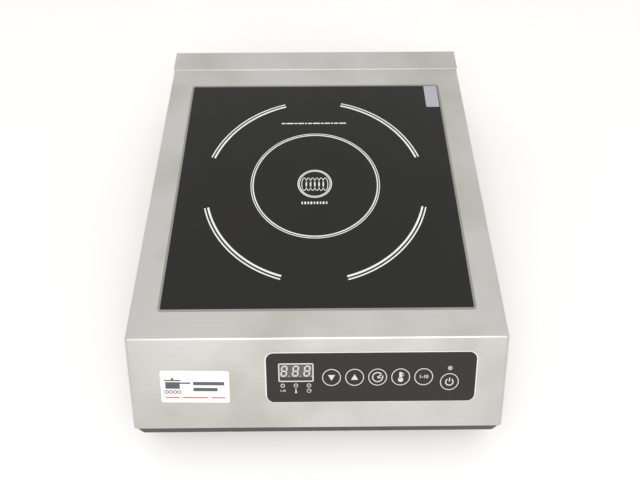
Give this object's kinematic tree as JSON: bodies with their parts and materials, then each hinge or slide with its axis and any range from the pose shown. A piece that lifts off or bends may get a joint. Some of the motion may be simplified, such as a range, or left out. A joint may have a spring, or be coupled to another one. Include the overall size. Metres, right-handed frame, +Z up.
{
  "type": "induction hob",
  "caption": "Counter-top induction hob: folded stainless case with a sloping control front, flush black glass plate, dark base pan on rubber feet, coil, electronics and fans inside.",
  "frame": {"origin": "bottom centre of the whole object, on the table under its middle", "axes": "+X to the right as the cook sees it, +Y to the rear, +Z up; the sloping control front faces -Y"},
  "size_m": [0.3348, 0.429, 0.103],
  "materials": {
    "stainless": "brushed stainless sheet, grain across the width",
    "base_paint": "fine-texture dark grey powder coat",
    "glass_ceramic": "polished black glass ceramic",
    "silicone": "smooth grey silicone",
    "foot_rubber": "matt moulded rubber",
    "zinc_steel": "bright zinc plate",
    "label_film": "white vinyl film",
    "sticker_film": "pale paper film",
    "fascia": "gloss black polycarbonate",
    "key_cap": "gloss black with a white printed ring",
    "carrier_plastic": "black moulded plastic",
    "circuit_board": "green solder mask",
    "switch_plastic": "moulded plastic",
    "display_face": "grey diffusing face",
    "lamp_lens": "clear lens",
    "ribbon": "grey PVC",
    "copper_litz": "varnished copper strands",
    "coil_moulding": "heat-resistant moulding",
    "ferrite": "sintered ferrite",
    "mica": "pressed mica",
    "aluminium_plate": "mill finish",
    "sensor_rubber": "red silicone",
    "sensor_glass": "glazed bead",
    "standoff_plastic": "natural nylon",
    "epoxy_package": "black epoxy",
    "capacitor_film": "yellow box",
    "capacitor_sleeve": "dark blue sleeve",
    "fan_plastic": "black moulded plastic",
    "gland_plastic": "black nylon"
  },
  "bodies": {
    "base": {"housing": "stainless", "rear_panel": "stainless", "base_pan": "base_paint", "glass_plate": "glass_ceramic", "glass_seal": "silicone", "foot_front_left": "foot_rubber", "foot_front_right": "foot_rubber", "foot_rear_left": "foot_rubber", "foot_rear_right": "foot_rubber", "foot_screws": "zinc_steel", "foot_nuts": "zinc_steel", "side_screws": "zinc_steel", "rear_screws": "zinc_steel", "control_nuts": "zinc_steel", "small_screws": "zinc_steel", "control_board_screws": "zinc_steel", "fan_screws": "zinc_steel", "coil_posts": "zinc_steel", "front_label": "label_film", "glass_sticker": "sticker_film", "control_overlay": "fascia", "control_carrier": "carrier_plastic", "air_duct_left": "carrier_plastic", "air_duct_right": "carrier_plastic", "control_board": "circuit_board", "power_board": "circuit_board", "key_switches": "switch_plastic", "board_connectors": "switch_plastic", "terminal_block": "switch_plastic", "relay": "switch_plastic", "fuse_holder": "switch_plastic", "display_module": "display_face", "indicator_lamps": "lamp_lens", "ribbon_cable": "ribbon", "coil_winding": "copper_litz", "coil_leads": "copper_litz", "coil_carrier": "coil_moulding", "ferrite_bars": "ferrite", "filter_choke": "ferrite", "mica_sheet": "mica", "coil_plate": "aluminium_plate", "heatsink": "aluminium_plate", "sensor_holder": "sensor_rubber", "temperature_sensor": "sensor_glass", "board_standoffs": "standoff_plastic", "power_semiconductors": "epoxy_package", "film_capacitors": "capacitor_film", "electrolytic_capacitors": "capacitor_sleeve", "fan_frame_left": "fan_plastic", "fan_frame_right": "fan_plastic", "gland_body": "gland_plastic", "gland_nut": "gland_plastic"},
    "fan_rotor_left": {"fan_rotor_left": "fan_plastic"},
    "fan_rotor_right": {"fan_rotor_right": "fan_plastic"},
    "key_down": {"key_down": "key_cap"},
    "key_level": {"key_level": "key_cap"},
    "key_power": {"key_power": "key_cap"},
    "key_temperature": {"key_temperature": "key_cap"},
    "key_timer": {"key_timer": "key_cap"},
    "key_up": {"key_up": "key_cap"}
  },
  "joints": [
    {"name": "key_down_press", "type": "slide", "parent": "base", "child": "key_down", "axis": [0, 0.7133, -0.7009], "range_m": [0, 0.0003], "stiffness_N_per_m": 400, "springref_m": -0.001},
    {"name": "key_up_press", "type": "slide", "parent": "base", "child": "key_up", "axis": [0, 0.7133, -0.7009], "range_m": [0, 0.0003], "stiffness_N_per_m": 400, "springref_m": -0.001},
    {"name": "key_timer_press", "type": "slide", "parent": "base", "child": "key_timer", "axis": [0, 0.7133, -0.7009], "range_m": [0, 0.0003], "stiffness_N_per_m": 400, "springref_m": -0.001},
    {"name": "key_temperature_press", "type": "slide", "parent": "base", "child": "key_temperature", "axis": [0, 0.7133, -0.7009], "range_m": [0, 0.0003], "stiffness_N_per_m": 400, "springref_m": -0.001},
    {"name": "key_level_press", "type": "slide", "parent": "base", "child": "key_level", "axis": [0, 0.7133, -0.7009], "range_m": [0, 0.0003], "stiffness_N_per_m": 400, "springref_m": -0.001},
    {"name": "key_power_press", "type": "slide", "parent": "base", "child": "key_power", "axis": [0, 0.7133, -0.7009], "range_m": [0, 0.0003], "stiffness_N_per_m": 400, "springref_m": -0.001},
    {"name": "fan_left_spin", "type": "hinge", "parent": "base", "child": "fan_rotor_left", "pos_m": [-0.075, -0.10857, 0.028], "axis": [0, 0, 1], "continuous": true},
    {"name": "fan_right_spin", "type": "hinge", "parent": "base", "child": "fan_rotor_right", "pos_m": [0.075, -0.10857, 0.028], "axis": [0, 0, 1], "continuous": true}
  ]
}
